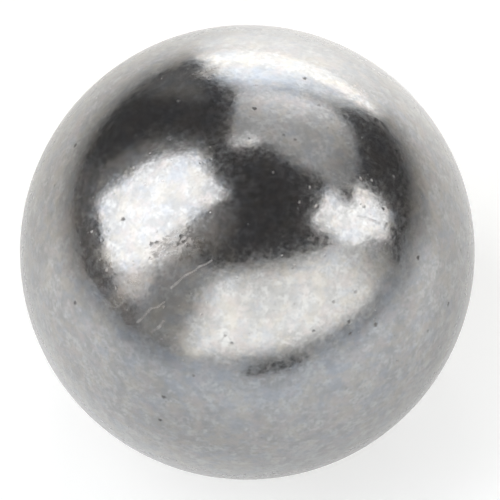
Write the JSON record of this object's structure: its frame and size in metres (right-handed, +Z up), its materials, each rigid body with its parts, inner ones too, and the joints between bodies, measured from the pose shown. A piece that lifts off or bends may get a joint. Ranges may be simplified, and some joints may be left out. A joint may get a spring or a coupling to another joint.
{
  "type": "steel ball",
  "caption": "Solid bright steel ball, ground round, with small dents and scuffs from loose use; a rolling element, detent, stop or small weight.",
  "frame": {"origin": "centre of the ball", "axes": "+Z up. The ball is alike all round apart from its marks; its long scuffed patch is on the front left shoulder, between -Y, -X and +Z"},
  "size_m": [0.0126, 0.0126, 0.0126],
  "materials": {
    "steel": "polished"
  },
  "bodies": {
    "root": {"ball": "steel"}
  },
  "joints": []
}
